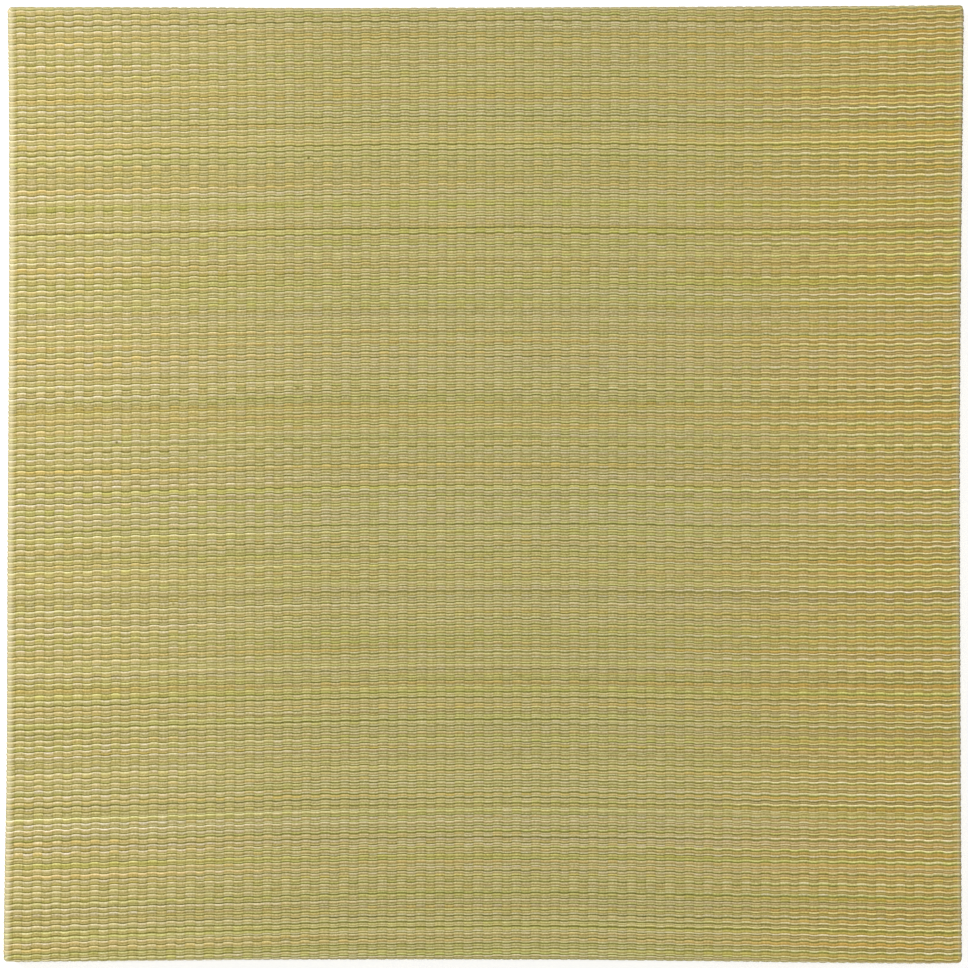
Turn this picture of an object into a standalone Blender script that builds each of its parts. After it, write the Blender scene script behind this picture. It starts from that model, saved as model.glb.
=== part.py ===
"""A square borderless tatami mat: one woven rush face, turned over the edges of a flat mat.

Metres, +Z up. +X runs along the rushes and +Y along the warp, so the ribs of the weave
run along Y. The origin is under the middle of the mat, on the surface that it lies on.
"""
import math

import bmesh
import bpy

MM = 0.001

# Driving dimensions
WIDTH = 820 * MM
DEPTH = 820 * MM
THICKNESS = 25 * MM
SHOULDER = 4.5 * MM
FOOT_ROUND = 2 * MM
CORNER_RADIUS = 5 * MM
RIBS = 100
RIB_RELIEF = 0.6 * MM

# One rib of the weave, valley first: (place across the rib, depth below its crown)
RIB_PROFILE = (
    (0.00, RIB_RELIEF),
    (0.25, 0.0),
    (0.75, 0.0),
)

# How far each edge stands out from the true square, or draws in where it is negative.
# A row is (place along the edge from -1 to +1, millimetres outwards).
LEFT_EDGE = ((-1.0, 3.0), (-0.83, 2.1), (-0.6, 0.4), (-0.15, -0.4), (0.4, -1.7), (0.8, -1.6), (1.0, -0.4))
RIGHT_EDGE = ((-1.0, 0.0), (-0.6, -0.9), (0.0, -1.7), (0.4, -0.9), (0.8, 0.9), (1.0, 1.7))
BACK_EDGE = ((-1.0, 0.0), (-0.3, -0.9), (0.4, 0.0), (0.85, 0.9), (1.0, 1.7))
FRONT_EDGE = ((-1.0, 0.4), (-0.7, -0.9), (-0.3, -2.0), (0.2, -1.7), (0.5, -0.4), (0.85, 1.3), (1.0, 1.3))

# How finely the faces follow those shapes
ROWS_ALONG = 6
CORNER_SPAN = 4 * MM
SHOULDER_STEPS = 3
UNDERSIDE_MARGIN = 2

# Places closer than this are the same place
NEAR = 0.001 * MM

RUSH_COLOR = (0.445, 0.381, 0.150, 1.0)
RUSH_ROUGHNESS = 0.55


def clear_scene():
    """Start from an empty scene."""
    for item in list(bpy.data.objects):
        bpy.data.objects.remove(item, do_unlink=True)


def rush_material():
    """Dried rush, a dull straw green."""
    material = bpy.data.materials.new("woven_rush")
    material.use_nodes = True
    shader = material.node_tree.nodes["Principled BSDF"]
    shader.inputs["Base Color"].default_value = RUSH_COLOR
    shader.inputs["Roughness"].default_value = RUSH_ROUGHNESS
    shader.inputs["Metallic"].default_value = 0.0
    return material


def slope_at(table, index):
    """The slope of the smooth curve through a table at one of its rows."""
    before = table[max(index - 1, 0)]
    after = table[min(index + 1, len(table) - 1)]
    return (after[1] - before[1]) / (after[0] - before[0])


def read_edge(table, place):
    """An edge's stand-out in metres at a place along it, on a smooth curve through its rows."""
    place = min(max(place, table[0][0]), table[-1][0])
    index = max(i for i in range(len(table) - 1) if table[i][0] <= place)
    start, end = table[index], table[index + 1]
    span = end[0] - start[0]
    t = (place - start[0]) / span
    rise = end[1] - start[1]
    smooth = start[1] + rise * t * t * (3 - 2 * t)
    lead_in = slope_at(table, index) * span * t * (1 - t) ** 2
    lead_out = slope_at(table, index + 1) * span * t * t * (1 - t)
    return (smooth + lead_in - lead_out) * MM


def uneven(x, y):
    """Shift a point of the true square so that the four edges bow as the real ones do."""
    across = x / WIDTH + 0.5
    along = y / DEPTH + 0.5
    left = read_edge(LEFT_EDGE, 2 * y / DEPTH)
    right = read_edge(RIGHT_EDGE, 2 * y / DEPTH)
    front = read_edge(FRONT_EDGE, 2 * x / WIDTH)
    back = read_edge(BACK_EDGE, 2 * x / WIDTH)
    shifted_x = x - left * (1 - across) + right * across
    shifted_y = y - front * (1 - along) + back * along
    return shifted_x, shifted_y


def rounded_corner(x, y, half_width, half_depth, radius):
    """Bring a point on a sharp-cornered outline onto the same outline with round corners."""
    inner_x = max(-half_width + radius, min(half_width - radius, x))
    inner_y = max(-half_depth + radius, min(half_depth - radius, y))
    reach = math.hypot(x - inner_x, y - inner_y)
    if reach == 0:
        return x, y
    return inner_x + (x - inner_x) * radius / reach, inner_y + (y - inner_y) * radius / reach


def rib_lines():
    """The lines that run along the ribs on the top face: (x, depth below the crowns)."""
    edge = WIDTH / 2 - SHOULDER
    pitch = WIDTH / RIBS
    lines = [(-edge, 0.0)]
    for rib in range(RIBS):
        for share, depth in RIB_PROFILE:
            x = (rib + share) * pitch - WIDTH / 2
            if -edge < x < edge:
                lines.append((x, depth))
    lines.append((edge, 0.0))
    return lines


def cross_lines():
    """The lines across the ribs on the top face: both ends, where the corners start, and between."""
    end = DEPTH / 2 - SHOULDER
    inner = end - CORNER_SPAN
    between = [inner * (2 * row / ROWS_ALONG - 1) for row in range(ROWS_ALONG + 1)]
    return [-end] + between + [end]


def turned_section():
    """The turned edge from the top face down: (outwards, height, relief outwards, relief upwards)."""
    steps = []
    for step in range(1, SHOULDER_STEPS + 1):
        angle = math.radians(90) * step / SHOULDER_STEPS
        out = math.sin(angle)
        up = math.cos(angle)
        steps.append((out * SHOULDER, THICKNESS - SHOULDER + up * SHOULDER, out, up))
    steps.append((SHOULDER, FOOT_ROUND, 1.0, 0.0))
    steps.append((SHOULDER - FOOT_ROUND, 0.0, 0.0, 0.0))
    return steps


def top_face(bm, seat):
    """The ribbed top: one chain of points across the ribs, extruded row by row along them."""
    front, *rows = cross_lines()
    chain = []
    for x, depth in rib_lines():
        vert = bm.verts.new((x, front, THICKNESS - depth))
        vert[seat] = (x, front, depth)
        chain.append(vert)
    edges = [bm.edges.new(pair) for pair in zip(chain, chain[1:])]
    for y in rows:
        made = bmesh.ops.extrude_edge_only(bm, edges=edges)["geom"]
        for item in made:
            if isinstance(item, bmesh.types.BMVert):
                x, _, depth = item[seat]
                item[seat] = (x, y, depth)
                item.co.y = y
        new_verts = {item for item in made if isinstance(item, bmesh.types.BMVert)}
        edges = [e for e in made if isinstance(e, bmesh.types.BMEdge) and set(e.verts) <= new_verts]


def turned_edges(bm, seat):
    """The turned edges: the rim extruded out and down along the section, all the way round."""
    half_width = WIDTH / 2 - SHOULDER
    half_depth = DEPTH / 2 - SHOULDER
    rim = [edge for edge in bm.edges if edge.is_boundary]
    for out, height, relief_out, relief_up in turned_section():
        made = bmesh.ops.extrude_edge_only(bm, edges=rim)["geom"]
        new_verts = {item for item in made if isinstance(item, bmesh.types.BMVert)}
        for vert in new_verts:
            x, y, depth = vert[seat]
            reach = out - depth * relief_out
            far_x = x + math.copysign(reach, x) if abs(x) > half_width - NEAR else x
            far_y = y + math.copysign(reach, y) if abs(y) > half_depth - NEAR else y
            radius = max(CORNER_RADIUS - SHOULDER + reach, 0.0)
            far_x, far_y = rounded_corner(
                far_x, far_y, half_width + reach, half_depth + reach, radius)
            vert.co = (far_x, far_y, height - depth * relief_up)
        rim = [e for e in made if isinstance(e, bmesh.types.BMEdge) and set(e.verts) <= new_verts]
    return rim


def underside(bm, rim, seat):
    """The flat underside: long strips from the front rim to the back one, and a piece at each side."""
    last = rib_lines()[-1 - UNDERSIDE_MARGIN][0] + NEAR
    chains = {-1: [], 1: []}
    for edge in rim:
        seats = [vert[seat] for vert in edge.verts]
        if all(abs(x) < last for x, _, _ in seats):
            chains[1 if seats[0][1] > 0 else -1].append(edge)
    bmesh.ops.bridge_loops(bm, edges=chains[-1] + chains[1])
    for side in (-1, 1):
        border = [edge for edge in bm.edges if edge.is_boundary]
        near = [edge for edge in border if all(vert[seat][0] * side > 0 for vert in edge.verts)]
        bmesh.ops.contextual_create(bm, geom=near)


def bow_edges(bm):
    """Give the outline its bows, and set the mat's box square over the origin."""
    for vert in bm.verts:
        vert.co.x, vert.co.y = uneven(vert.co.x, vert.co.y)
    for axis in (0, 1):
        places = [vert.co[axis] for vert in bm.verts]
        middle = (min(places) + max(places)) / 2
        for vert in bm.verts:
            vert.co[axis] -= middle


def rush_mat():
    """The mat as one solid."""
    bm = bmesh.new()
    seat = bm.verts.layers.float_vector.new("seat")
    top_face(bm, seat)
    rim = turned_edges(bm, seat)
    underside(bm, rim, seat)
    bow_edges(bm)
    bmesh.ops.recalc_face_normals(bm, faces=bm.faces)
    mesh = bpy.data.meshes.new("rush_mat")
    bm.to_mesh(mesh)
    bm.free()
    mat = bpy.data.objects.new("rush_mat", mesh)
    bpy.context.scene.collection.objects.link(mat)
    mesh.materials.append(rush_material())
    mesh.shade_smooth()
    mesh.set_sharp_from_angle(angle=math.radians(40))
    return mat


clear_scene()
rush_mat()
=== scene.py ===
"""The looks of a square borderless tatami mat, seen from straight above.

The woven rush face is real geometry: every rush is a low rounded ridge that runs along X,
dips where it passes under the warp and steps a little up or down from rib to rib. The face
is one flat sheet in ribs and rows, cut into bands that meet in the gaps between rushes,
and folded over the mat's four edges. Metres, +Z up, +X along the rushes, +Y to the back.
"""
import math

import bmesh
import bpy
import numpy as np
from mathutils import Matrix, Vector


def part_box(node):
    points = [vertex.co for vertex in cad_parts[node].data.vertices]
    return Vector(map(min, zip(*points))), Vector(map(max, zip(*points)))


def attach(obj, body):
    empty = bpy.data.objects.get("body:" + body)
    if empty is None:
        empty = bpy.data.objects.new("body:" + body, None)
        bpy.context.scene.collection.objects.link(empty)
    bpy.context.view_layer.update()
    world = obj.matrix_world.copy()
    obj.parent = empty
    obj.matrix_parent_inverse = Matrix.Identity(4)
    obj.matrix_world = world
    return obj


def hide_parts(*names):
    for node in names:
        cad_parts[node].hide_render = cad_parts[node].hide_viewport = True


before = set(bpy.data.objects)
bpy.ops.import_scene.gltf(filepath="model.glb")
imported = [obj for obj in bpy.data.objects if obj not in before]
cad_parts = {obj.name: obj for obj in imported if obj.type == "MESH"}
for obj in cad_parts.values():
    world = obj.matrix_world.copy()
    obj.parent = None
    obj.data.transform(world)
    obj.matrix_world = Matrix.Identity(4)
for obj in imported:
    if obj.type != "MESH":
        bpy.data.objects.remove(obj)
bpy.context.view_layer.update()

MM = 0.001
NODE = "rush_mat"

# The mat, as its solid is made
WIDTH = 820 * MM
DEPTH = 820 * MM
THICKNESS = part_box(NODE)[1].z
SHOULDER = 4.5 * MM
FOOT_ROUND = 2 * MM
CORNER_RADIUS = 5 * MM
RIBS = 100

# How far each edge stands out from the true square, or draws in where it is negative.
# A row is (place along the edge from -1 to +1, millimetres outwards).
LEFT_EDGE = ((-1.0, 3.0), (-0.83, 2.1), (-0.6, 0.4), (-0.15, -0.4), (0.4, -1.7), (0.8, -1.6), (1.0, -0.4))
RIGHT_EDGE = ((-1.0, 0.0), (-0.6, -0.9), (0.0, -1.7), (0.4, -0.9), (0.8, 0.9), (1.0, 1.7))
BACK_EDGE = ((-1.0, 0.0), (-0.3, -0.9), (0.4, 0.0), (0.85, 0.9), (1.0, 1.7))
FRONT_EDGE = ((-1.0, 0.4), (-0.7, -0.9), (-0.3, -2.0), (0.2, -1.7), (0.5, -0.4), (0.85, 1.3), (1.0, 1.3))

# How far the rushes bow towards the back between the edges. A row is (place across from -1
# to +1, millimetres at the back edge, millimetres at the front edge).
RUSH_BOW = (
    (-1.0, -0.3, -0.3),
    (-0.8, 1.6, 1.8),
    (-0.57, 3.4, 3.9),
    (-0.33, 5.6, 5.9),
    (0.06, 6.5, 7.9),
    (0.3, 5.7, 7.5),
    (0.5, 4.8, 6.7),
    (0.78, 5.5, 5.9),
    (1.0, 7.0, 4.7),
)

# The weave. A float is the stretch of one rush that shows between two warps.
ROWS_ON_TOP = 337
BANDS = 8
POINTS_PER_ROW = 3
TURN_AT_SIDES = 0.3
TURN_IN_MIDDLE = 0.18
RIB_DIP = 0.45 * MM
GAP_DIP = 0.74 * MM
GAP_FADE = 0.4
PAIR_GAP_DIP = 0.45 * MM
THIN_DIP = 0.8 * MM
LIFT_SPREAD = 0.06 * MM
GAP_SPREAD = 0.08 * MM
ROW_SPREAD = 0.16 * MM
SWAY = 0.15 * MM
STEP_AT_LEFT = 0.43 * MM
STEP_IN_MIDDLE = 0.28 * MM
STEP_AT_RIGHT = 0.35 * MM
STEP_SPREAD = 0.15
RIB_SPREAD = 0.3 * MM
SEED = 41

# Rushes lie four to a repeat, roots and tips by turns, so thick and thin ones alternate at
# the two sides and all are alike in the middle. Widths are shares of the mean row.
LEFT_WIDTHS = (1.18, 0.82, 1.18, 0.82)
MIDDLE_WIDTHS = (1.0, 1.0, 1.0, 1.0)
RIGHT_WIDTHS = (0.78, 1.2, 1.2, 0.82)
THICKEST = 1.22

# The turned edge, measured along the face from where the top ends
ARC = SHOULDER * math.pi / 2
SIDE = THICKNESS - SHOULDER - FOOT_ROUND
FOOT_ARC = FOOT_ROUND * math.pi / 2
TURN_UNDER = 8 * MM
TURNED = ARC + SIDE + FOOT_ARC + TURN_UNDER
CORNER_FAN = 3 * MM
TURNED_STEPS = 31
TURNED_STEP = TURNED / TURNED_STEPS

HALF_X = WIDTH / 2 - SHOULDER
HALF_Y = DEPTH / 2 - SHOULDER
RIB_PITCH = WIDTH / RIBS
ROW_PITCH = 2 * HALF_Y / ROWS_ON_TOP
FIRST_RIB = SHOULDER / RIB_PITCH
ROWS_PAST = math.ceil((TURNED + max(max(row[1:]) for row in RUSH_BOW) * MM) / ROW_PITCH) + 1

# Tables of chance cover the turned edges too
SPARE_ROWS = ROWS_PAST + 2
SPARE_RIBS = 8
NODES_ALONG = 14

# Points nearer than the first are one, and points closer than the second to a cut are on it
MERGE_GAP = 0.005 * MM
CUT_GAP = 0.02 * MM

# The underside
UNDER_INSET = 10 * MM
UNDER_LIFT = 0.3 * MM
UNDER_THICKNESS = 0.8 * MM
UNDER_SEGMENTS = 24

# The light is bright, so a surface's own colour is this share of the colour seen in the picture
OWN_SHARE = 0.7
SHEEN = 0.2
SURROUNDINGS = 0.27
OVERHEAD_POWER = 2.5
OVERHEAD_SPREAD = math.radians(30)
KEY_POWER = 32.0
KEY_SIZE = 0.7
KEY_COLOUR = (1.0, 0.98, 0.94)
FLOOR_SIZE = 25.0
FLOOR_COLOUR = (0.93, 0.93, 0.93, 1)

# The picture
PHOTO_PIXELS = 968
MM_PER_PIXEL = 0.8582
CAMERA_RIGHT = 0.35 * MM
LENS = 100.0
SENSOR = 36.0

chance = np.random.default_rng(SEED)
LIFTS = chance.normal(0, 1, (ROWS_ON_TOP + 2 * SPARE_ROWS, RIBS + 2 * SPARE_RIBS))
GAPS = chance.normal(0, 1, (ROWS_ON_TOP + 2 * SPARE_ROWS, RIBS + 2 * SPARE_RIBS))
STEPS = chance.normal(0, 1, (ROWS_ON_TOP + 2 * SPARE_ROWS, RIBS + 2 * SPARE_RIBS))
SHIFTS = chance.normal(0, 1, (ROWS_ON_TOP + 2 * SPARE_ROWS, NODES_ALONG))
TURNS = np.concatenate([[0, 0], chance.uniform(-1, 1, RIBS - 3), [0, 0]])


def read_curve(table, place, column=1):
    """A column of a table of millimetres, in metres, on a smooth curve through its rows."""
    places = np.array([row[0] for row in table])
    offsets = np.array([row[column] for row in table]) * MM
    place = np.clip(place, places[0], places[-1])
    before = np.maximum(np.arange(len(places)) - 1, 0)
    after = np.minimum(np.arange(len(places)) + 1, len(places) - 1)
    slopes = (offsets[after] - offsets[before]) / (places[after] - places[before])
    index = np.clip(np.searchsorted(places, place, side="right") - 1, 0, len(places) - 2)
    span = places[index + 1] - places[index]
    t = (place - places[index]) / span
    rise = offsets[index + 1] - offsets[index]
    smooth = offsets[index] + rise * t * t * (3 - 2 * t)
    lead_in = slopes[index] * span * t * (1 - t) ** 2
    lead_out = slopes[index + 1] * span * t * t * (1 - t)
    return smooth + lead_in - lead_out


def uneven(x, y):
    """Shift points of the true square so that the four edges bow as the real ones do."""
    across = x / WIDTH + 0.5
    along = y / DEPTH + 0.5
    left = read_curve(LEFT_EDGE, 2 * y / DEPTH)
    right = read_curve(RIGHT_EDGE, 2 * y / DEPTH)
    front = read_curve(FRONT_EDGE, 2 * x / WIDTH)
    back = read_curve(BACK_EDGE, 2 * x / WIDTH)
    return x - left * (1 - across) + right * across, y - front * (1 - along) + back * along


def outline_middle():
    """The middle of the bowed outline's box, which belongs over the origin."""
    edge = np.linspace(-0.5, 0.5, 400)
    side = np.full_like(edge, 0.5)
    x = np.concatenate([-side, side, edge, edge]) * WIDTH
    y = np.concatenate([edge, edge, -side, side]) * DEPTH
    x, y = uneven(x, y)
    return (x.min() + x.max()) / 2, (y.min() + y.max()) / 2


def turned(distance):
    """Where a point of the turned edge lies: outwards, downwards, and its normal's two parts."""
    on_arc = np.clip(distance, 0, ARC) / SHOULDER
    on_side = np.clip(distance - ARC, 0, SIDE)
    on_foot = np.clip(distance - ARC - SIDE, 0, FOOT_ARC) / FOOT_ROUND
    under = np.maximum(distance - ARC - SIDE - FOOT_ARC, 0)
    out = SHOULDER * np.sin(on_arc) - FOOT_ROUND * (1 - np.cos(on_foot)) - under
    down = SHOULDER * (1 - np.cos(on_arc)) + on_side + FOOT_ROUND * np.sin(on_foot)
    return out, down, np.sin(on_arc) * np.cos(on_foot), np.cos(on_arc) - np.sin(on_foot)


def fold(across, along):
    """Lay the flat sheet over the mat: points and outward normals for places on the sheet."""
    past_x = np.maximum(np.abs(across) - HALF_X, 0)
    past_y = np.maximum(np.abs(along) - HALF_Y, 0)
    at_corner = (np.abs(across) > HALF_X - CUT_GAP) & (np.abs(along) > HALF_Y - CUT_GAP)
    past_x, past_y = (
        np.where(at_corner, np.round(past / TURNED_STEP) * TURNED_STEP, past) for past in (past_x, past_y))
    side_x, side_y = np.sign(across), np.sign(along)
    out_x, _, normal_x, _ = turned(past_x)
    out_y, _, normal_y, _ = turned(past_y)
    _, down, _, normal_z = turned(np.maximum(past_x, past_y))
    x = np.minimum(np.abs(across), HALF_X)
    y = np.minimum(np.abs(along), HALF_Y)
    fan_x = np.where(past_x == 0, np.clip((x - HALF_X) / CORNER_FAN + 1, 0, 1), 0)
    fan_y = np.where(past_y == 0, np.clip((y - HALF_Y) / CORNER_FAN + 1, 0, 1), 0)
    reach = np.maximum(out_x, out_y)
    far_x = x + out_x + out_y * fan_x
    far_y = y + out_y + out_x * fan_y
    radius = CORNER_RADIUS - SHOULDER + reach
    inner_x = np.minimum(far_x, HALF_X + reach - radius)
    inner_y = np.minimum(far_y, HALF_Y + reach - radius)
    gap = np.hypot(far_x - inner_x, far_y - inner_y)
    on_turn = (np.maximum(past_x, past_y) > 0) & (gap > MERGE_GAP)
    pull = np.where(on_turn, radius / np.maximum(gap, MERGE_GAP), 1.0)
    x = side_x * (inner_x + (far_x - inner_x) * pull)
    y = side_y * (inner_y + (far_y - inner_y) * pull)
    normal = np.stack([
        side_x * (normal_x + normal_y * fan_x),
        side_y * (normal_y + normal_x * fan_y),
        normal_z,
    ], axis=1)
    normal /= np.linalg.norm(normal, axis=1, keepdims=True)
    return x, y, THICKNESS - down, normal, at_corner


def widths_at(share):
    """The widths of a repeat's four rows at places from the left edge, 0, to the right edge, 1."""
    left, middle, right = (np.array(row)[:, None] for row in (LEFT_WIDTHS, MIDDLE_WIDTHS, RIGHT_WIDTHS))
    to_left = np.clip(1 - share / 0.5, 0, 1)
    to_right = np.clip((share - 0.5) / 0.5, 0, 1)
    return middle + (left - middle) * to_left + (right - middle) * to_right


def from_middle(rib):
    """0 at the mat's middle and 1 at its left and right edges."""
    return np.abs(2 * np.clip(np.asarray(rib) / RIBS, 0, 1) - 1)


def turn_share(rib):
    """The share of a rib's width that the rushes take to step up or down, at each of its sides."""
    return TURN_IN_MIDDLE + (TURN_AT_SIDES - TURN_IN_MIDDLE) * from_middle(rib)


def rib_lines():
    """The lines along the ribs over the whole sheet, counted in ribs from the left edge."""
    first, last = FIRST_RIB, RIBS - FIRST_RIB
    lines = [first]
    for rib in range(RIBS):
        turn = float(turn_share(rib + 0.5))
        lines += [rib + place for place in (0.0, turn, 1 - turn) if first < rib + place < last]
    past = [step * TURNED_STEP / RIB_PITCH for step in range(1, TURNED_STEPS + 1)]
    return np.array([first - p for p in reversed(past)] + lines + [last] + [last + p for p in past])


def sheet_grid(first_row, last_row):
    """A band of the sheet as a grid, each vertex with its seat: its rib line and its row line."""
    ribs = rib_lines()
    rows = np.arange(first_row * POINTS_PER_ROW, last_row * POINTS_PER_ROW + 1) / POINTS_PER_ROW
    bm = bmesh.new()
    seat = bm.verts.layers.float_vector.new("seat")
    bmesh.ops.create_grid(bm, x_segments=len(ribs) - 1, y_segments=len(rows) - 1, size=1.0)
    for vert in bm.verts:
        rib = ribs[round((vert.co.x + 1) / 2 * (len(ribs) - 1))]
        row = rows[round((1 - vert.co.y) / 2 * (len(rows) - 1))]
        vert[seat] = (rib, row, 0)
    return bm


def pick(table, row, rib):
    """A table's value for each float."""
    return table[row.astype(int) + SPARE_ROWS, rib.astype(int) + SPARE_RIBS]


def pick_along(table, row, rib):
    """A row's value, changing slowly along the rush."""
    place = (rib + SPARE_RIBS) / (RIBS + 2 * SPARE_RIBS) * (NODES_ALONG - 1)
    index = np.clip(place.astype(int), 0, NODES_ALONG - 2)
    part = place - index
    index_row = row.astype(int) + SPARE_ROWS
    return table[index_row, index] * (1 - part) + table[index_row, index + 1] * part


def row_places(row, rib):
    """How far each point lies from the first row's upper edge, in metres, and its row's width."""
    share = np.clip(rib / RIBS, 0, 1)
    widths = widths_at(share)
    whole = np.floor(row + 1e-6)
    part = row - whole
    kind = np.mod(whole, 4).astype(int)
    starts = np.cumsum(widths, axis=0) - widths
    points = np.arange(len(row))
    start = starts[kind, points]
    width = widths[kind, points]
    place = (whole - kind + start + part * width) * ROW_PITCH
    shift = pick_along(SHIFTS, whole, rib) * (1 - part) + pick_along(SHIFTS, whole + 1, rib) * part
    return place + shift * ROW_SPREAD, width


def bow(rib, row):
    """How far a row has drifted towards the back, and its own small wander."""
    across = 2 * rib / RIBS - 1
    to_front = np.clip(row / ROWS_ON_TOP, 0, 1)
    drift = read_curve(RUSH_BOW, across) * (1 - to_front) + read_curve(RUSH_BOW, across, 2) * to_front
    wander = np.sin(14.2 * across + 31.0 * to_front) + 0.6 * np.sin(22.6 * across - 57.0 * to_front + 1.0)
    return drift + SWAY * wander


def weave(rib_line, row_line):
    """The sheet's weave at each point: how far it lies along the warp, and how deep."""
    rib = np.floor(rib_line + 1e-6)
    rib_part = rib_line - rib
    row = np.floor(row_line + 1e-6)
    row_part = row_line - row
    from_turn = np.clip(np.minimum(rib_part, 1 - rib_part) / turn_share(rib + 0.5), 0, 1)
    crown = from_turn * from_turn * (3 - 2 * from_turn)
    in_gap = np.clip(1 - np.minimum(row_part, 1 - row_part) * POINTS_PER_ROW, 0, 1)
    place, width = row_places(row_line, rib_line)
    side_step = np.where(rib_line < RIBS / 2, STEP_AT_LEFT, STEP_AT_RIGHT)
    height = STEP_IN_MIDDLE + (side_step - STEP_IN_MIDDLE) * from_middle(rib_line)
    up_or_down = 2 * np.mod(rib, 2) - 1
    step = height * up_or_down * crown * (1 + STEP_SPREAD * pick(STEPS, row, rib))
    float_depth = (THICKEST - width) * THIN_DIP + LIFT_SPREAD * pick(LIFTS, row, rib)
    within_pair = np.mod(np.round(row_line), 2) == 1
    between_pairs = GAP_DIP * (1 - GAP_FADE * np.clip(rib_line / RIBS, 0, 1))
    gap_depth = np.where(within_pair, PAIR_GAP_DIP, between_pairs) + GAP_SPREAD * pick(GAPS, row, rib)
    depth = float_depth * (1 - in_gap) + gap_depth * in_gap
    depth = depth * (0.5 + 0.5 * crown) + RIB_DIP * (1 - crown)
    return HALF_Y - place + step + bow(rib_line, row_line), np.maximum(depth, 0)


def read_vectors(mesh, name):
    """A vertex attribute's vectors, or the vertices' own places."""
    values = np.empty(len(mesh.vertices) * 3, np.float32)
    if name == "co":
        mesh.vertices.foreach_get("co", values)
    else:
        mesh.attributes[name].data.foreach_get("vector", values)
    return values.reshape(-1, 3).astype(float)


def lay_flat(mesh):
    """Move the sheet's points to their places on the flat, before it is folded."""
    rib, row, _ = read_vectors(mesh, "seat").T
    row = np.round(row * POINTS_PER_ROW) / POINTS_PER_ROW
    along, _ = weave(rib, row)
    across = (rib - RIBS / 2) * RIB_PITCH + np.interp(rib, np.arange(RIBS + 1), TURNS) * RIB_SPREAD
    places = np.stack([across, along, np.zeros(len(rib))], axis=1)
    mesh.vertices.foreach_set("co", places.astype(np.float32).ravel())


def trim(mesh, back_or_front):
    """Cut the hem straight at the back or the front, and cut away the sheet's two corners."""
    bm = bmesh.new()
    bm.from_mesh(mesh)
    everything = bm.faces[:] + bm.edges[:] + bm.verts[:]
    plane = {"plane_no": (0, back_or_front, 0), "dist": CUT_GAP}
    hem = (0, back_or_front * (HALF_Y + TURNED), 0)
    bmesh.ops.bisect_plane(bm, geom=everything, plane_co=hem, clear_outer=True, **plane)
    flaps = [face for face in bm.faces if abs(face.calc_center_median().x) > HALF_X]
    edges = list({edge for face in flaps for edge in face.edges})
    verts = list({vert for face in flaps for vert in face.verts})
    corner = (0, back_or_front * HALF_Y, 0)
    bmesh.ops.bisect_plane(bm, geom=flaps + edges + verts, plane_co=corner, **plane)
    middles = ((face, face.calc_center_median()) for face in bm.faces)
    corners = [face for face, middle in middles if abs(middle.x) > HALF_X and abs(middle.y) > HALF_Y]
    bmesh.ops.delete(bm, geom=corners, context="FACES")
    bm.to_mesh(mesh)
    bm.free()


def sheet_maps(mesh):
    """Maps of the weave in ribs and rows, of the flat sheet in millimetres, and of the whole band."""
    corner = np.empty(len(mesh.loops), np.int32)
    mesh.loops.foreach_get("vertex_index", corner)
    seats = read_vectors(mesh, "seat")[corner, :2]
    flat = read_vectors(mesh, "co")[corner, :2] / MM
    low, high = seats.min(axis=0), seats.max(axis=0)
    whole = (seats - low) / (high - low)
    whole[:, 1] = 1 - whole[:, 1]
    for name, places in (("weave", seats), ("sheet", flat), ("OFBake", whole)):
        layer = mesh.uv_layers.new(name=name)
        layer.data.foreach_set("uv", places.astype(np.float32).ravel())


def close_corners(mesh):
    """Join the points where the turned sides meet."""
    bm = bmesh.new()
    bm.from_mesh(mesh)
    edge = [vert for vert in bm.verts if vert.is_boundary]
    bmesh.ops.remove_doubles(bm, verts=edge, dist=MERGE_GAP)
    bm.to_mesh(mesh)
    bm.free()


def rush_band(number, first_row, last_row, middle):
    """One band of the woven face, with its share of the turned edges."""
    name = f"rush_face_{number}"
    mesh = bpy.data.meshes.new(name)
    bm = sheet_grid(first_row, last_row)
    bm.to_mesh(mesh)
    bm.free()
    lay_flat(mesh)
    back_or_front = (first_row < 0) - (last_row > ROWS_ON_TOP)
    if back_or_front:
        trim(mesh, back_or_front)
    sheet_maps(mesh)
    rib, row, _ = read_vectors(mesh, "seat").T
    across, along, _ = read_vectors(mesh, "co").T
    on_flap = np.abs(across) > HALF_X + MERGE_GAP
    along = np.where(on_flap, np.clip(along, -HALF_Y, HALF_Y), along)
    _, depth = weave(rib, row)
    x, y, z, normal, at_corner = fold(across, along)
    x, y = uneven(x, y)
    depth = np.where(at_corner, 0, depth)
    points = np.stack([x - middle[0], y - middle[1], z], axis=1) - normal * depth[:, None]
    mesh.vertices.foreach_set("co", points.astype(np.float32).ravel())
    mesh.attributes.remove(mesh.attributes["seat"])
    if back_or_front:
        close_corners(mesh)
    mesh.shade_smooth()
    mesh.update()
    band = bpy.data.objects.new(name, mesh)
    bpy.context.scene.collection.objects.link(band)
    return band


def underside(middle):
    """The plain cloth under the mat, a thin closed sheet inside the turned-under rim."""
    bm = bmesh.new()
    bmesh.ops.create_grid(bm, x_segments=UNDER_SEGMENTS, y_segments=UNDER_SEGMENTS, size=1.0)
    for vert in bm.verts:
        x = vert.co.x * (WIDTH / 2 - UNDER_INSET)
        y = vert.co.y * (DEPTH / 2 - UNDER_INSET)
        x, y = (float(v[0]) for v in uneven(np.array([x]), np.array([y])))
        vert.co = (x - middle[0], y - middle[1], UNDER_LIFT)
    bmesh.ops.reverse_faces(bm, faces=bm.faces)
    bmesh.ops.solidify(bm, geom=bm.faces[:], thickness=UNDER_THICKNESS)
    bmesh.ops.recalc_face_normals(bm, faces=bm.faces)
    mesh = bpy.data.meshes.new("mat_underside")
    bm.to_mesh(mesh)
    bm.free()
    piece = bpy.data.objects.new("mat_underside", mesh)
    bpy.context.scene.collection.objects.link(piece)
    return piece


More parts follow.
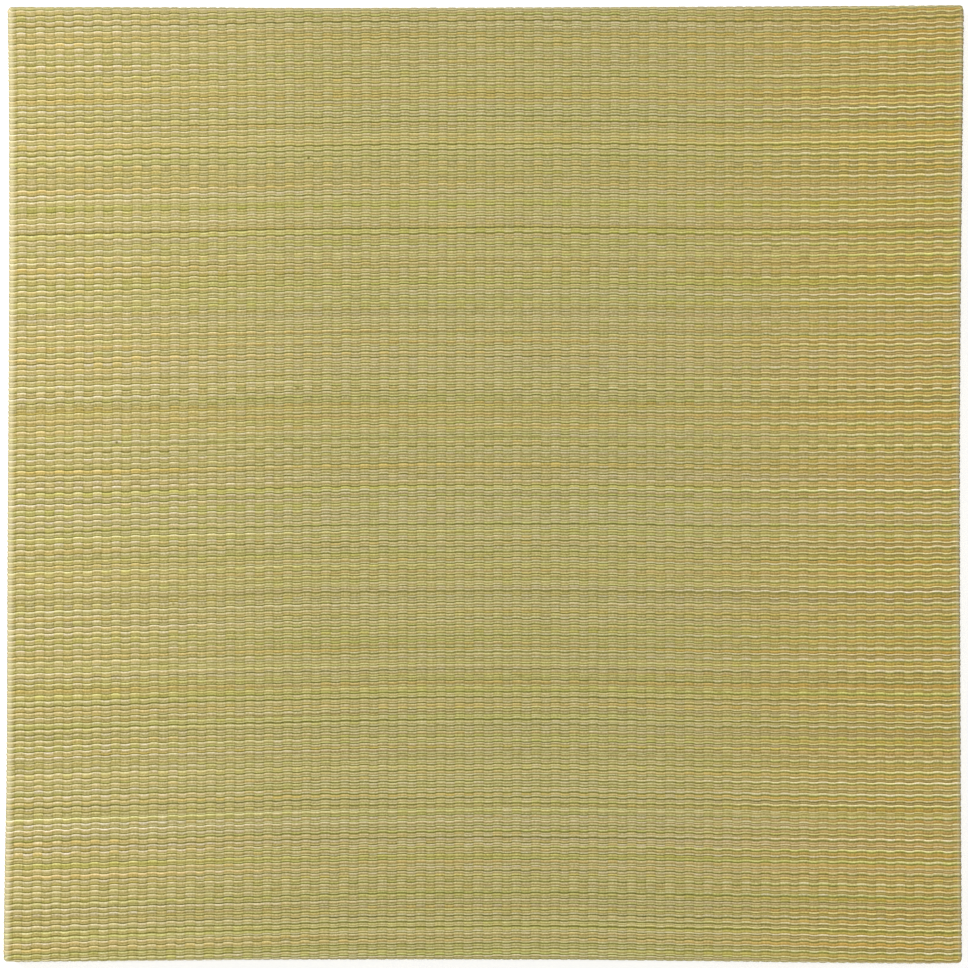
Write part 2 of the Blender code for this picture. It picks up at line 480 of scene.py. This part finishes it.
class Sum:
    """A number or a colour inside a material, so that shader maths reads as arithmetic."""

    def __init__(self, finish, socket):
        self.finish = finish
        self.socket = socket

    def math(self, operation, *others):
        """A Math node with this number first."""
        values = dict(enumerate((self, *others)))
        return self.finish.node("ShaderNodeMath", {"operation": operation}, values)

    def __add__(self, other):
        return self.math("ADD", other)

    __radd__ = __add__

    def __mul__(self, other):
        return self.math("MULTIPLY", other)

    __rmul__ = __mul__

    def __sub__(self, other):
        return self.math("SUBTRACT", other)

    def __rsub__(self, other):
        return self.math("MULTIPLY", -1.0).math("ADD", other)

    def __truediv__(self, other):
        return self.math("DIVIDE", other)

    def size(self):
        return self.math("ABSOLUTE")

    def floor(self):
        return self.math("FLOOR")

    def fract(self):
        return self.math("FRACT")

    def between(self, low, high):
        """0 below low and 1 above high, smooth between them."""
        values = {"Value": self, "From Min": low, "From Max": high}
        return self.finish.node("ShaderNodeMapRange", {"interpolation_type": "SMOOTHSTEP"}, values)


class Finish:
    """A material of nodes under way."""

    def __init__(self, name, roughness):
        self.material = bpy.data.materials.new(name)
        self.material.use_nodes = True
        self.tree = self.material.node_tree
        self.shader = self.tree.nodes["Principled BSDF"]
        self.shader.inputs["Roughness"].default_value = roughness
        self.shader.inputs["Specular IOR Level"].default_value = SHEEN

    def plug(self, value, socket):
        """Link a Sum to a socket, or set a plain value on it."""
        if isinstance(value, Sum):
            self.tree.links.new(value.socket, socket)
        else:
            socket.default_value = value

    def node(self, kind, settings=(), sockets=(), output=0):
        """A node of any kind: its settings first, then the values or links of its sockets."""
        node = self.tree.nodes.new(kind)
        for name, value in dict(settings).items():
            if name == "stops":
                self.set_stops(node.color_ramp, value)
            else:
                setattr(node, name, value)
        for name, value in dict(sockets).items():
            self.plug(value, node.inputs[name])
        return Sum(self, node.outputs[output])

    def set_stops(self, ramp, stops):
        """Set a ramp's stops, each (place, colour)."""
        while len(ramp.elements) < len(stops):
            ramp.elements.new(0.5)
        for element, (place, colour) in zip(ramp.elements, stops):
            element.position = place
            element.color = colour

    def show(self, name, value):
        """Feed one of the shader's own inputs."""
        self.plug(value, self.shader.inputs[name])

    def vector(self, x=0.0, y=0.0, z=0.0):
        """A vector from three numbers."""
        return self.node("ShaderNodeCombineXYZ", sockets={"X": x, "Y": y, "Z": z})

    def chance(self, x, y=0.0, z=0.0):
        """A number from -0.5 to 0.5 for each place that the three numbers name."""
        settings = {"noise_dimensions": "3D"}
        return self.node("ShaderNodeTexWhiteNoise", settings, {"Vector": self.vector(x, y, z)}) - 0.5

    def noise(self, vector, scale=1.0, detail=2.0):
        """Smooth noise around 0.5."""
        sockets = {"Vector": vector, "Scale": scale, "Detail": detail}
        return self.node("ShaderNodeTexNoise", {"noise_dimensions": "3D"}, sockets)

    def ramp(self, place, stops):
        """A ramp's colour at a place from 0 to 1."""
        return self.node("ShaderNodeValToRGB", {"stops": stops}, {"Fac": place})

    def blend(self, factor, first, second, kind="MIX"):
        """Two colours mixed."""
        settings = {"data_type": "RGBA", "blend_type": kind, "clamp_result": False}
        return self.node("ShaderNodeMix", settings, {0: factor, 6: first, 7: second}, output=2)

    def bump(self, height, strength):
        """A normal that follows a fine relief."""
        sockets = {"Height": height, "Strength": strength, "Distance": 0.3 * MM}
        return self.node("ShaderNodeBump", sockets=sockets)


def seen(red, green, blue, share=1.0):
    """A colour as the eye sees it, from 0 to 255, as the shader's own linear colour."""
    parts = (value / 255 for value in (red, green, blue))
    linear = [v / 12.92 if v <= 0.04045 else ((v + 0.055) / 1.055) ** 2.4 for v in parts]
    return (*(v * share for v in linear), 1.0)


# The four rushes of a repeat, from its upper edge to its lower one: (place, colour as seen)
# Besides the rushes' own straw, green and brown, these colours hold a painted highlight along each rush's
# upper edge and painted shade in the gaps between rushes.
LEFT_RUSHES = (
    (0.00, (168, 156, 98)),
    (0.035, (232, 218, 166)),
    (0.085, (226, 210, 156)),
    (0.13, (197, 179, 118)),
    (0.19, (187, 167, 101)),
    (0.24, (185, 167, 103)),
    (0.30, (190, 174, 109)),
    (0.35, (184, 170, 104)),
    (0.40, (164, 151, 80)),
    (0.45, (138, 126, 54)),
    (0.485, (127, 117, 44)),
    (0.505, (160, 148, 86)),
    (0.54, (228, 214, 164)),
    (0.59, (220, 206, 154)),
    (0.64, (189, 175, 117)),
    (0.70, (181, 165, 103)),
    (0.75, (175, 159, 97)),
    (0.80, (182, 170, 104)),
    (0.85, (177, 167, 98)),
    (0.90, (158, 149, 77)),
    (0.95, (133, 125, 52)),
    (0.99, (122, 113, 42)),
)
MIDDLE_RUSHES = (
    (0.00, (142, 131, 60)),
    (0.05, (202, 190, 132)),
    (0.09, (210, 196, 138)),
    (0.14, (187, 171, 109)),
    (0.19, (166, 148, 86)),
    (0.235, (143, 125, 66)),
    (0.28, (172, 160, 99)),
    (0.34, (206, 196, 139)),
    (0.39, (182, 174, 108)),
    (0.44, (138, 132, 56)),
    (0.485, (112, 107, 30)),
    (0.51, (134, 125, 57)),
    (0.55, (198, 186, 130)),
    (0.59, (208, 194, 138)),
    (0.64, (189, 173, 113)),
    (0.69, (168, 150, 88)),
    (0.735, (144, 126, 67)),
    (0.78, (174, 162, 101)),
    (0.84, (208, 200, 143)),
    (0.89, (181, 174, 107)),
    (0.94, (138, 132, 56)),
    (0.985, (110, 105, 28)),
)
RIGHT_RUSHES = (
    (0.00, (166, 148, 78)),
    (0.05, (188, 164, 98)),
    (0.12, (164, 140, 74)),
    (0.18, (148, 124, 56)),
    (0.24, (184, 163, 95)),
    (0.28, (226, 210, 151)),
    (0.34, (221, 207, 148)),
    (0.38, (186, 178, 107)),
    (0.42, (150, 145, 69)),
    (0.47, (134, 130, 48)),
    (0.51, (170, 152, 78)),
    (0.56, (204, 174, 96)),
    (0.62, (192, 160, 80)),
    (0.67, (170, 137, 57)),
    (0.73, (180, 153, 77)),
    (0.78, (222, 206, 143)),
    (0.84, (219, 205, 144)),
    (0.88, (178, 161, 94)),
    (0.93, (150, 134, 68)),
    (0.985, (138, 123, 56)),
)
# A painted highlight on the shoulders where the rushes bend over the edges: its colour, and how strong it
# is at the left, right and back edges.
SHOULDER_HIGHLIGHT_COLOUR = (246, 236, 196)
SHOULDER_HIGHLIGHT_AT_LEFT = 0.42
SHOULDER_HIGHLIGHT_AT_RIGHT = 0.2
SHOULDER_HIGHLIGHT_AT_BACK = 0.24

# Each kind of chance in the rush's finish has a number of its own, so that none follows another.
# A rush is one row, a side is all of a row's odd ribs or all its even ones, and a float is one rib.
SLIP = 5.0
PAIR_HUE = 41.0
RUSH_HUE = 3.0
SIDE_HUE = 11.0
FLOAT_HUE = 13.0
RUSH_DULL = 47.0
SIDE_DULL = 43.0
FLOAT_DULL = 53.0
RUSH_LIGHT = 17.0
SIDE_LIGHT = 23.0
FLOAT_LIGHT = 19.0
HALF_LIGHT = 59.0
PAINTED_HIGHLIGHT = 29.0
PAINTED_LOW_SHADE = 31.0
SPECK = 37.0

# What a rush's hue and its lightness do to those colours: (place, share of red, green, blue)
HUES = (
    (0.10, (0.90, 0.98, 0.66, 1)),
    (0.40, (0.99, 1.01, 0.98, 1)),
    (0.60, (1.01, 1.00, 1.02, 1)),
    (0.90, (1.04, 0.95, 0.68, 1)),
)
SHADES = (
    (0.00, (0.18, 0.16, 0.06, 1)),
    (0.25, (0.56, 0.56, 0.30, 1)),
    (0.50, (1.00, 1.00, 1.00, 1)),
    (0.75, (1.38, 1.40, 1.72, 1)),
    (1.00, (1.80, 1.85, 2.60, 1)),
)


def shoulder_highlight(past_edge, first):
    """A painted highlight along the shoulder where the rushes bend over an edge, from a place given in
    millimetres past it.
    """
    return past_edge.between(first, 1.5) * (1 - past_edge.between(3.5, 5.7))


def rush_colour(finish, place, across):
    """The colour at a place in the repeat of four, for a place across the mat from 0 to 1."""
    left, middle, right = (
        finish.ramp(place, [(where, seen(*colour, OWN_SHARE)) for where, colour in table])
        for table in (LEFT_RUSHES, MIDDLE_RUSHES, RIGHT_RUSHES))
    to_middle = finish.blend(across.between(0.02, 0.38), left, middle)
    return finish.blend(across.between(0.62, 0.96), to_middle, right)


def rush_finish():
    """Dried rush: each one its own shade of straw, green or brown, with fine fibres along it, and with
    painted highlights and painted shade along the rushes, across the ribs and on the shoulders.
    """
    finish = Finish("woven_rush", 0.5)
    weave_map = {"Vector": finish.node("ShaderNodeUVMap", {"uv_map": "weave"})}
    rib_line = finish.node("ShaderNodeSeparateXYZ", sockets=weave_map)
    row_line = finish.node("ShaderNodeSeparateXYZ", sockets=weave_map, output=1)
    rib = rib_line.floor()
    row = row_line.floor()
    part = row_line.fract()
    odd_rib = (rib * 0.5).fract() * 2
    odd_row = (row * 0.5).fract() * 2
    pair = (row * 0.5).floor()
    from_gap = 0.5 - (part - 0.5).size()
    from_turn = 0.5 - (rib_line.fract() - 0.5).size()
    across = rib_line / RIBS
    at_sides = 2 * (across - 0.5).size()
    leads = odd_row * across + (1 - odd_row) * (1 - across)
    sheet_map = {"Vector": finish.node("ShaderNodeUVMap", {"uv_map": "sheet"})}
    sheet_x = finish.node("ShaderNodeSeparateXYZ", sockets=sheet_map)
    sheet_y = finish.node("ShaderNodeSeparateXYZ", sockets=sheet_map, output=1)

    slip = finish.chance(row, SLIP) * 0.24 + finish.chance(row, odd_rib, SLIP) * 0.1
    colour = rush_colour(finish, ((row_line + slip) / 4).fract(), across)

    drift = finish.noise(finish.vector(rib_line * 0.05, row * 7.31), detail=1.0)
    hue = finish.chance(pair, PAIR_HUE) * 0.4 + finish.chance(row, RUSH_HUE) * 0.35
    hue = hue + finish.chance(row, odd_rib, SIDE_HUE) * 0.2 + finish.chance(row, rib, FLOAT_HUE) * 0.25
    hue = 0.25 + hue + drift * 0.5
    colour = finish.blend(1.0, colour, finish.ramp(hue, HUES), "MULTIPLY")

    dulled = finish.chance(row, RUSH_DULL) * (0.14 + 0.26 * across)
    dulled = dulled + finish.chance(row, odd_rib, SIDE_DULL) * (0.15 + 0.1 * at_sides)
    dulled = dulled + finish.chance(row, rib, FLOAT_DULL) * 0.14
    colour = finish.blend(1.0, colour, finish.vector(1.0, 1.0, 1 + dulled), "MULTIPLY")

    streaks = finish.noise(finish.vector(rib_line * 0.7, row_line * 2.2))
    grain = finish.noise(finish.vector(rib_line * 5.0, row_line * 1.6), detail=1.0)
    patches = finish.noise(finish.vector(rib_line * 0.4, row * 3.7), detail=1.0)
    level = finish.chance(row, RUSH_LIGHT) * 0.07
    level = level + finish.chance(row, odd_rib, SIDE_LIGHT) * (0.04 + 0.1 * at_sides)
    level = level + finish.chance(row, rib, FLOAT_LIGHT) * 0.03 + patches * 0.12
    level = level + finish.chance((row_line * 2).floor(), odd_rib, HALF_LIGHT) * 0.08
    level = level + streaks * 0.3 + grain * 0.58 + 0.015
    level = level + (odd_rib - 0.5) * (0.018 - 0.01 * across)

    # Painted highlight: a pale band along the upper part of each rush.
    painted_highlight = part.between(0.0, 0.06) * (1 - part.between(0.16, 0.34))
    highlight_here = 0.5 + finish.chance(row, PAINTED_HIGHLIGHT) * 0.8 + finish.chance(row, odd_rib, PAINTED_HIGHLIGHT) * 0.2
    level = level + (0.26 + 0.12 * across) * painted_highlight * highlight_here * highlight_here * leads
    # Painted shade: darker along the lower part of each rush, most on the odd rows.
    painted_low_shade = part.between(0.72, 0.92)
    shade_here = 0.5 + finish.chance(row, PAINTED_LOW_SHADE) * 0.8 + finish.chance(row, odd_rib, PAINTED_LOW_SHADE) * 0.2
    shade_share = (0.15 + 0.85 * odd_row) * (1 - 0.25 * across)
    level = level - painted_low_shade * (0.05 + 0.34 * shade_here * shade_here) * shade_share
    # Painted shade in a narrow line where each rib dips under the warp, and painted light and shade across
    # each rib, lighter on its crown; both are stronger at the left.
    level = level - (0.1 - 0.045 * across) * (1 - from_turn.between(0.0, 0.13))
    level = level + (0.045 - 0.035 * across) * (from_turn.between(0.0, 0.5) - 0.5)
    level = level + 0.009 - 0.007 * across
    speck = (finish.chance(row, rib, SPECK) + 0.5).between(0.99985, 0.99995)
    level = level - 0.4 * speck * from_gap.between(0.1, 0.25) * from_turn.between(0.3, 0.42)
    half_x, half_y = HALF_X / MM, HALF_Y / MM
    past_right = sheet_x - half_x
    # Painted shade on the lower curve of the right shoulder.
    level = level - 0.16 * past_right.between(3.5, 5.0) * (1 - past_right.between(7.0, 9.0))
    colour = finish.blend(1.0, colour, finish.ramp(level, SHADES), "MULTIPLY")

    # Painted highlight on the shoulders, strongest at the left and the back.
    painted_shoulder_light = SHOULDER_HIGHLIGHT_AT_LEFT * shoulder_highlight(0 - sheet_x - half_x, -3.0)
    painted_shoulder_light = painted_shoulder_light + SHOULDER_HIGHLIGHT_AT_RIGHT * shoulder_highlight(past_right + 0.5, 0.0)
    painted_shoulder_light = painted_shoulder_light + SHOULDER_HIGHLIGHT_AT_BACK * shoulder_highlight(sheet_y - half_y - 1, -1.0)
    finish.show("Base Color", finish.blend(painted_shoulder_light, colour, seen(*SHOULDER_HIGHLIGHT_COLOUR, OWN_SHARE)))

    finish.show("Roughness", 0.42 + streaks * 0.3)
    height = streaks * 0.35 + from_gap.between(0.0, 0.5) * 0.5 + from_turn.between(0.0, 0.3) * 0.4
    finish.show("Normal", finish.bump(height, 0.6))
    return finish.material


def underside_finish():
    """A plain unbleached cloth."""
    finish = Finish("plain_cloth", 0.85)
    place = finish.node("ShaderNodeTexCoord", output=3)
    mottle = finish.noise(place, scale=60.0, detail=3.0)
    threads = finish.noise(place, scale=900.0)
    stops = (
        (0.3, seen(168, 160, 140, OWN_SHARE)),
        (0.7, seen(186, 178, 158, OWN_SHARE)),
    )
    finish.show("Base Color", finish.ramp(mottle * 0.6 + threads * 0.4, stops))
    finish.show("Normal", finish.bump(threads, 0.4))
    return finish.material


def declare(piece, finish, flat):
    """Give a piece its finish, hang it from the root body and hide the mat's solid; flat, the size it was
    cut to, is not used.
    """
    piece.data.materials.append(finish)
    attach(piece, "root")
    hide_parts(NODE)


def build_mat():
    """All the mat's pieces, each given its finish and hung from the root body, standing for its one solid.
    """
    middle = outline_middle()
    rush = rush_finish()
    seams = [round(ROWS_ON_TOP * band / BANDS) for band in range(1, BANDS)]
    stops = [-ROWS_PAST, *seams, ROWS_ON_TOP + ROWS_PAST]
    for number, (first_row, last_row) in enumerate(zip(stops, stops[1:]), start=1):
        band = rush_band(number, first_row, last_row, middle)
        past = TURNED * ((first_row < 0) + (last_row > ROWS_ON_TOP))
        rows = min(last_row, ROWS_ON_TOP) - max(first_row, 0)
        declare(band, rush, (2 * (HALF_X + TURNED), rows * ROW_PITCH + past))
    under = underside(middle)
    declare(under, underside_finish(), (WIDTH - 2 * UNDER_INSET, DEPTH - 2 * UNDER_INSET))


def floor():
    """A plain white floor."""
    bm = bmesh.new()
    bmesh.ops.create_grid(bm, x_segments=1, y_segments=1, size=FLOOR_SIZE)
    mesh = bpy.data.meshes.new("floor")
    bm.to_mesh(mesh)
    bm.free()
    piece = bpy.data.objects.new("floor", mesh)
    bpy.context.scene.collection.objects.link(piece)
    finish = Finish("white_floor", 0.9)
    finish.shader.inputs["Base Color"].default_value = FLOOR_COLOUR
    mesh.materials.append(finish.material)


def light(name, kind, place, power, **settings):
    """A soft light aimed at the middle of the mat."""
    data = bpy.data.lights.new(name, kind)
    data.energy = power
    for setting, value in settings.items():
        setattr(data, setting, value)
    lamp = bpy.data.objects.new(name, data)
    bpy.context.scene.collection.objects.link(lamp)
    lamp.location = place
    lamp.rotation_euler = (-lamp.location).to_track_quat("-Z", "Y").to_euler()


def studio():
    """White surroundings, a broad light overhead and a smaller one from the picture's upper left."""
    world = bpy.data.worlds.new("studio")
    world.use_nodes = True
    world.node_tree.nodes["Background"].inputs["Color"].default_value = (1, 1, 1, 1)
    world.node_tree.nodes["Background"].inputs["Strength"].default_value = SURROUNDINGS
    bpy.context.scene.world = world
    light("overhead", "SUN", (0, 0, 3), OVERHEAD_POWER, angle=OVERHEAD_SPREAD)
    light("key", "AREA", (-1.6, 0.9, 1.6), KEY_POWER, size=KEY_SIZE, color=KEY_COLOUR)
    bpy.context.scene.view_settings.view_transform = "Standard"


def camera():
    """Straight above the mat, framed as the photograph is."""
    data = bpy.data.cameras.new("camera")
    data.lens = LENS
    data.sensor_width = SENSOR
    eye = bpy.data.objects.new("camera", data)
    bpy.context.scene.collection.objects.link(eye)
    span = PHOTO_PIXELS * MM_PER_PIXEL * MM
    eye.location = (CAMERA_RIGHT, 0, THICKNESS - SHOULDER + span * LENS / SENSOR)
    bpy.context.scene.camera = eye


camera()
build_mat()
floor()
studio()
